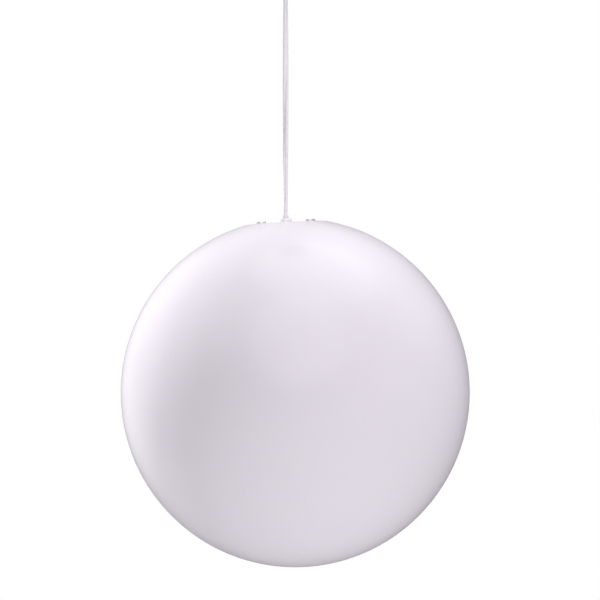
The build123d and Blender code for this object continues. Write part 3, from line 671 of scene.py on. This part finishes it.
def make_clamp_screws():
    """The cord clamp's two long screws."""
    clamp_height, clamp_side = -22.5, 6.2
    pair = [
        placed(slotted_screw(head=(2.5, 6, 8), shank=(1.5, -9, 6), slot_size=(2.9, 0.6),
                             slot_depth=1.0, dome=0.7),
               along_x(ceiling_frame, side * clamp_side, clamp_height))
        for side in (-1, 1)
    ]
    piece = finished("clamp_screws", joined(pair), "zinc_steel", "ceiling_fitting")
    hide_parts("cord_clamp_screws")


def make_block_screws():
    """The four grub screws of the terminal block."""
    block_side, block_ends = 4.5, (19.5, 28.5)
    four = [
        placed(grub_screw(radius=1.5, bottom=-23.2, top=-20.0, slot_width=0.45),
               beside(ceiling_frame, x, side * block_side))
        for side in (-1, 1) for x in block_ends
    ]
    piece = finished("block_grub_screws", joined(four), "zinc_steel", "ceiling_fitting")
    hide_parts("terminal_screws")


make_sleeve()
for screw_side, screw_way in (("left", -1), ("right", 1)):
    make_canopy_screw(screw_side, screw_way)
make_clamp_screws()
make_block_screws()

# ================================ lamp holder ================================
holder_outside = 19.2
holder_inside = 17.4
holder_seam = -38.0
seam_round = 0.35


def make_holder_top():
    """The holder's upper moulding: a neck, a rounded shoulder and a wall down to the seam."""
    bore, neck, neck_top, neck_foot = 5.0, 8, -8.6, -17
    shoulder, shoulder_height, wall_top = 13.6, -18.75, -24
    roof, roof_height = 12.7, -19
    cap = turned(
        [(bore, neck_top), (neck, neck_top), (neck, neck_foot), (shoulder, shoulder_height),
         (holder_outside, wall_top), (holder_outside, holder_seam), (holder_inside, holder_seam),
         (holder_inside, wall_top), (roof, roof_height), (bore, roof_height)],
        roundings=((1, 0.8), (2, 1.2), (3, 4.0), (4, 3.0), (5, seam_round)),
    )
    piece = finished("holder_top", placed(cap, lid_frame), "holder_plastic", "lamp_head")
    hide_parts("holder_cap")


def make_holder_skirt():
    """The holder's lower moulding: a groove near its mouth, a ledge, and the collar at its top."""
    groove, groove_ends, groove_floor = 18.75, (-73, -75.2), (-73.6, -74.6)
    mouth_height, ledge, ledge_underside, ledge_top = -80, 14.55, -49, -47
    collar_inside, collar_outside, collar_top = 15.95, 17.35, -33
    skirt = turned(
        [(holder_outside, holder_seam), (holder_outside, groove_ends[0]),
         (groove, groove_floor[0]), (groove, groove_floor[1]), (holder_outside, groove_ends[1]),
         (holder_outside, mouth_height), (holder_inside, mouth_height),
         (holder_inside, ledge_underside), (ledge, ledge_underside), (ledge, ledge_top),
         (collar_inside, ledge_top), (collar_inside, collar_top), (collar_outside, collar_top),
         (collar_outside, holder_seam)],
        roundings=((0, seam_round), (5, 0.8), (6, 0.6)),
    )
    piece = finished("holder_skirt", placed(skirt, lid_frame), "holder_plastic", "lamp_head")
    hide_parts("holder_body")


def make_holder_screws():
    """The wire screws of the two terminals and the grub screw of the cord stop."""
    terminal_height, terminal_side, stop_height = -34.5, 9.0, -21.5
    pair = [
        placed(slotted_screw(head=(2.0, 3.0, 4.2), shank=(1.3, 1.2, 3.0), slot_size=(2.3, 0.5),
                             slot_depth=0.6, dome=0.5),
               along_x(lid_frame, side * terminal_side, terminal_height))
        for side in (-1, 1)
    ]
    piece = finished("wire_screws", joined(pair), slot_of["holder_terminal_screws"], "lamp_head")
    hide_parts("holder_terminal_screws")
    grub = grub_screw(radius=1.25, bottom=1.95, top=7.0, slot_width=0.4)
    piece = finished("stop_grub_screw", placed(grub, along_x(lid_frame, 0, stop_height)),
                     slot_of["cord_stop_screw"], "lamp_head")
    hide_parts("cord_stop_screw")


make_holder_top()
make_holder_skirt()
make_holder_screws()

# ================================ screw shells and bulb ================================
cap_pitch = 3.63
cap_thread_depth = 0.95
cap_thread_fade = 0.7
cap_rings_to_mm = 3
bulb_collar = -80.5             # where the bulb's housing comes out of its screw cap
bulb_radius = 18.4
tube_top = -102.5


def rolled_shell(outer, wall, ends, thread):
    """A thin sheet shell with a coarse rolled thread; ends and thread are (bottom, top)."""
    bottom, top = ends
    heights = steps_between(bottom, top, int((top - bottom) * cap_rings_to_mm))
    outline = [(outer, height) for height in heights]
    outline += [(outer - wall, height) for height in reversed(heights)]
    builder = turned(outline)
    roll_thread(builder, *thread, cap_pitch, cap_thread_depth, fade=cap_thread_fade)
    return placed(builder, lid_frame)


def make_screw_shells():
    """The bulb's cap and the shell it turns in; their threads lie in step."""
    bulb_shell = rolled_shell(outer=13.1, wall=0.3, ends=(bulb_collar, -58.5),
                              thread=(-78.0, -59.5))
    piece = finished("bulb_cap", bulb_shell, "bulb_metal", "bulb", smooth_angle=60)
    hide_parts("bulb_screw_shell")
    holder_shell = rolled_shell(outer=13.9, wall=0.4, ends=(-79.0, -47.0), thread=(-78.0, -50.0))
    piece = finished("holder_thread", holder_shell, "brass", "lamp_head", smooth_angle=60)
    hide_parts("holder_screw_shell")


def make_bulb_base():
    """The bulb's moulded housing, which widens from its cap past four cooling grooves."""
    cap_inside, cap_top = 12.75, -58.55
    neck, taper, full_height = 14.0, 14.0, -95.9
    first_groove, last_groove, gaps = -84.5, -94.0, 3
    groove_depth, groove_floor, groove_end, end_step = 0.5, (0.35, 0.9), 1.25, 0.38
    outline = [(0, cap_top), (cap_inside, cap_top), (cap_inside, bulb_collar), (neck, bulb_collar)]
    for height in steps_between(first_groove, last_groove, gaps):
        radius = neck + (bulb_radius - neck) * (bulb_collar - height) / taper
        outline.append((radius, height))
        outline += [(radius - groove_depth, height - drop) for drop in groove_floor]
        outline.append((radius + end_step, height - groove_end))
    outline += [(bulb_radius, full_height), (bulb_radius, tube_top), (0, tube_top)]
    housing = finished("bulb_base", placed(turned(outline), lid_frame), "bulb_white", "bulb")
    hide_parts("bulb_housing")


def make_opal_tube():
    """The bulb's opal tube with its round end."""
    wall, slope, tip, tip_radius, tip_steps = 1.2, 0.25, -170.5, 14.0, 24
    flat = bulb_radius - tip_radius
    quarter = steps_between(0, -pi / 2, tip_steps)
    middle = tip + tip_radius
    hollow = tip_radius - wall
    outer = [(flat + tip_radius * cos(turn), middle + tip_radius * sin(turn)) for turn in quarter]
    inner = [(flat + hollow * cos(turn), middle + hollow * sin(turn)) for turn in quarter[::-1]]
    outline = [(bulb_radius - slope, tube_top), (bulb_radius, tube_top - slope)] + outer
    outline += [(0, tip), (0, tip + wall)] + inner + [(bulb_radius - wall, tube_top)]
    tube = finished("opal_tube", placed(turned(outline), lid_frame), "bulb_opal", "bulb")
    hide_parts("bulb_diffuser")


make_screw_shells()
make_bulb_base()
make_opal_tube()

# ================================ stage ================================
aim = Vector((0.0146, 0, -0.3841))      # the point in the picture's middle
camera_distance = 3.2
frame_width = 0.6024            # how much of the light's plane the picture takes in
sensor_width = 36

floor_height = -1.0
floor_radius = 3.0
floor_fade = 0.3                # share of the radius over which the floor fades out at its rim
floor_tones = ((0.74, 0.74, 0.74), (0.76, 0.76, 0.76))
floor_blotch = 3.0
floor_roughness = 0.7
floor_sides = 96

no_tint = (1.0, 1.0, 1.0)
front_tint = (1.0, 0.96, 1.0)   # a little pink, as the photographed shading is
low_tint = (1.0, 0.97, 1.0)

ambient = 0.12
# what the gloss reflects: height of the direction (-1 down, 1 up) and how bright it is there
surround = ((-1.0, 0.3), (-0.3, 0.05), (0.0, 0.0), (0.12, 0.02), (0.5, 0.5), (0.8, 1.0))
# a bright panel behind on the left, which only the gloss shows: its middle, and its soft edge
panel_azimuth = radians(138)
panel_height = radians(8)
panel_edge = radians(40)
panel_power = 1.25


def make_camera():
    """Level, far off and narrow, looking along +Y."""
    lens = bpy.data.cameras.new("camera")
    lens.sensor_width = sensor_width
    lens.lens = sensor_width * camera_distance / frame_width
    camera = bpy.data.objects.new("camera", lens)
    camera.location = aim - Vector((0, camera_distance, 0))
    camera.rotation_euler = (radians(90), 0, 0)
    bpy.context.scene.collection.objects.link(camera)
    bpy.context.scene.camera = camera


def soft_sun(name, azimuth, height, breadth, strength, tint=no_tint, in_gloss=True):
    """A broad soft light, the same everywhere; azimuth 0 is +X and 90 is +Y, in degrees.

    Strength 1 makes a white face that looks at it white.
    """
    data = bpy.data.lights.new(name, "SUN")
    data.energy = strength * pi
    data.angle = radians(breadth)
    data.color = tint
    light = bpy.data.objects.new(name, data)
    light.rotation_euler = (radians(90 - height), 0, radians(azimuth + 90))
    light.visible_glossy = in_gloss
    bpy.context.scene.collection.objects.link(light)


def make_lights():
    """Two strips behind on the left, one light behind on the right, and soft fills."""
    soft_sun("strip_light_high", azimuth=147, height=52, breadth=16, strength=0.39, in_gloss=False)
    soft_sun("strip_light_low", azimuth=147, height=12, breadth=10, strength=0.63, in_gloss=False)
    soft_sun("rear_light", azimuth=40, height=40, breadth=40, strength=0.28, in_gloss=False)
    soft_sun("front_fill", azimuth=273, height=36, breadth=60, strength=0.35, tint=front_tint)
    soft_sun("top_light", azimuth=0, height=80, breadth=60, strength=0.32)
    soft_sun("low_fill", azimuth=330, height=-15, breadth=60, strength=0.44, tint=low_tint,
             in_gloss=False)


def make_world():
    """White for the eye; a ramp by height and a panel for reflections; a weak ambient light."""
    world = bpy.data.worlds.new("studio")
    bpy.context.scene.world = world
    world.use_nodes = True
    # not sampled as a lamp, so that every ray that meets it is of a kind that the nodes below know
    world.cycles.sampling_method = "NONE"
    tree = world.node_tree
    back = tree.nodes["Background"]
    back.inputs["Color"].default_value = (1, 1, 1, 1)
    direction = tree.nodes.new("ShaderNodeTexCoord").outputs["Generated"]
    split = tree.nodes.new("ShaderNodeSeparateXYZ")
    rise = tree.nodes.new("ShaderNodeMapRange")
    rise.inputs["From Min"].default_value = -1
    rise.inputs["From Max"].default_value = 1
    ramp = tree.nodes.new("ShaderNodeValToRGB")
    stops = ramp.color_ramp.elements
    while len(stops) < len(surround):
        stops.new(0.5)          # it is moved to its place below
    for stop, (up, bright) in zip(stops, surround):
        stop.position = (up + 1) / 2
        stop.color = (bright, bright, bright, 1)
    towards_panel = tree.nodes.new("ShaderNodeVectorMath")
    towards_panel.operation = "DOT_PRODUCT"
    towards_panel.inputs[1].default_value = (
        cos(panel_azimuth) * cos(panel_height),
        sin(panel_azimuth) * cos(panel_height),
        sin(panel_height),
    )
    panel = tree.nodes.new("ShaderNodeMapRange")
    panel.interpolation_type = "SMOOTHSTEP"
    panel.inputs["From Min"].default_value = cos(panel_edge)
    panel.inputs["From Max"].default_value = 1
    panel.inputs["To Max"].default_value = panel_power
    both = tree.nodes.new("ShaderNodeMath")
    both.operation = "ADD"
    seen = tree.nodes.new("ShaderNodeLightPath")
    reflected = tree.nodes.new("ShaderNodeMix")
    reflected.inputs["A"].default_value = ambient
    looked_at = tree.nodes.new("ShaderNodeMix")
    looked_at.inputs["B"].default_value = 1
    tree.links.new(direction, split.inputs["Vector"])
    tree.links.new(split.outputs["Z"], rise.inputs["Value"])
    tree.links.new(rise.outputs["Result"], ramp.inputs["Fac"])
    tree.links.new(direction, towards_panel.inputs[0])
    tree.links.new(towards_panel.outputs["Value"], panel.inputs["Value"])
    tree.links.new(ramp.outputs["Color"], both.inputs[0])
    tree.links.new(panel.outputs["Result"], both.inputs[1])
    tree.links.new(seen.outputs["Is Glossy Ray"], reflected.inputs["Factor"])
    tree.links.new(both.outputs["Value"], reflected.inputs["B"])
    tree.links.new(seen.outputs["Is Camera Ray"], looked_at.inputs["Factor"])
    tree.links.new(reflected.outputs["Result"], looked_at.inputs["A"])
    tree.links.new(looked_at.outputs["Result"], back.inputs["Strength"])


def floor_material():
    """A pale tone that fades out at the floor's rim, and shows from above only."""
    material, tree, shader = new_material("pale_floor")
    tone = two_tones(tree, noise(tree, floor_blotch), *floor_tones)
    tree.links.new(tone, shader.inputs["Base Color"])
    shader.inputs["Roughness"].default_value = floor_roughness
    place = tree.nodes.new("ShaderNodeTexCoord")
    scaled = tree.nodes.new("ShaderNodeMapping")
    scaled.inputs["Scale"].default_value = (1 / floor_radius, 1 / floor_radius, 0)
    round_fade = tree.nodes.new("ShaderNodeTexGradient")
    round_fade.gradient_type = "SPHERICAL"
    rim = tree.nodes.new("ShaderNodeMapRange")
    rim.interpolation_type = "SMOOTHSTEP"
    rim.inputs["From Max"].default_value = floor_fade
    clear = tree.nodes.new("ShaderNodeBsdfTransparent")
    faded = tree.nodes.new("ShaderNodeMixShader")
    facing = tree.nodes.new("ShaderNodeNewGeometry")
    one_sided = tree.nodes.new("ShaderNodeMixShader")
    tree.links.new(place.outputs["Object"], scaled.inputs["Vector"])
    tree.links.new(scaled.outputs["Vector"], round_fade.inputs["Vector"])
    tree.links.new(round_fade.outputs["Fac"], rim.inputs["Value"])
    tree.links.new(rim.outputs["Result"], faded.inputs["Fac"])
    tree.links.new(clear.outputs["BSDF"], faded.inputs[1])
    tree.links.new(shader.outputs["BSDF"], faded.inputs[2])
    tree.links.new(facing.outputs["Backfacing"], one_sided.inputs["Fac"])
    tree.links.new(faded.outputs["Shader"], one_sided.inputs[1])
    tree.links.new(clear.outputs["BSDF"], one_sided.inputs[2])
    tree.links.new(one_sided.outputs["Shader"], tree.nodes["Material Output"].inputs["Surface"])
    return material


def make_floor():
    """A plain pale round floor, well under the light."""
    builder = bmesh.new()
    bmesh.ops.create_circle(builder, cap_ends=True, segments=floor_sides, radius=floor_radius)
    bmesh.ops.translate(builder, verts=builder.verts, vec=(0, 0, floor_height))
    mesh = bpy.data.meshes.new("floor")
    builder.to_mesh(mesh)
    builder.free()
    mesh.materials.append(floor_material())
    floor = bpy.data.objects.new("floor", mesh)
    bpy.context.scene.collection.objects.link(floor)
    floor.visible_glossy = False


make_camera()
make_world()
make_floor()
make_lights()
bpy.context.scene.view_settings.view_transform = "Standard"
bpy.context.scene.view_settings.look = "None"
